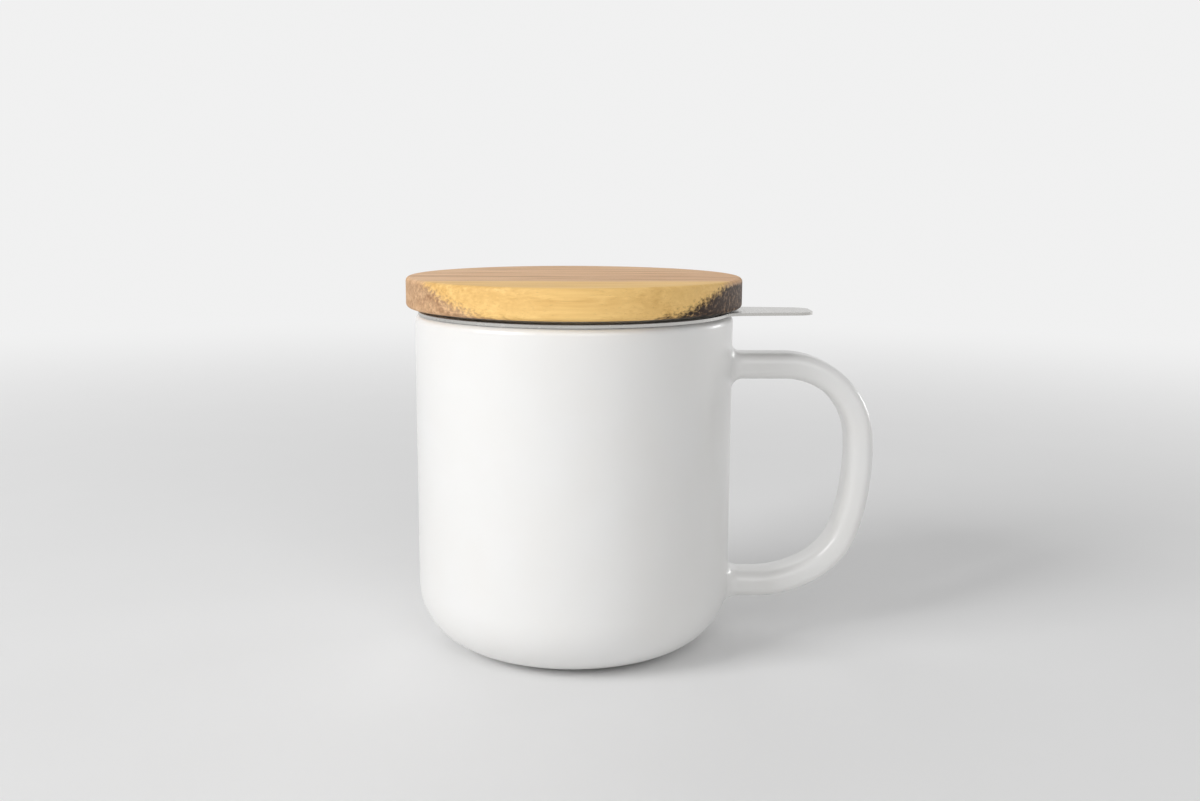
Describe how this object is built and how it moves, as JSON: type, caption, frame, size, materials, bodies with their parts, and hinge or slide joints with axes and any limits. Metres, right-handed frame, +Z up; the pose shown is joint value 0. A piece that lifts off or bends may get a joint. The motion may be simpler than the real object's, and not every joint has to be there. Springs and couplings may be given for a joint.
{
  "type": "lidded tea mug with infuser",
  "caption": "Straight-walled glazed mug with a D-shaped handle, a steel basket infuser hung by its tabbed brim, and a flat round wooden lid with a silicone ring.",
  "frame": {"origin": "centre of the foot ring, on the surface the mug stands on", "axes": "+Z up along the cup's axis; +X towards the handle and the infuser's tab"},
  "size_m": [0.1268, 0.09, 0.1009],
  "materials": {
    "glaze": "white semi-gloss glaze",
    "steel": "satin stainless steel",
    "wood": "oiled acacia with a pale sapwood edge",
    "silicone": "translucent matt silicone"
  },
  "bodies": {
    "mug": {"mug_body": "glaze", "mug_handle": "glaze"},
    "infuser": {"infuser_brim": "steel", "infuser_wall": "steel", "infuser_floor": "steel"},
    "lid": {"lid_board": "wood", "lid_seal": "silicone"}
  },
  "joints": [
    {"name": "infuser_lift", "type": "slide", "parent": "mug", "child": "infuser", "axis": [0, 0, 1], "range_m": [0, 0.085]},
    {"name": "lid_lift", "type": "slide", "parent": "infuser", "child": "lid", "axis": [0, 0, 1], "range_m": [0, 0.06]}
  ]
}
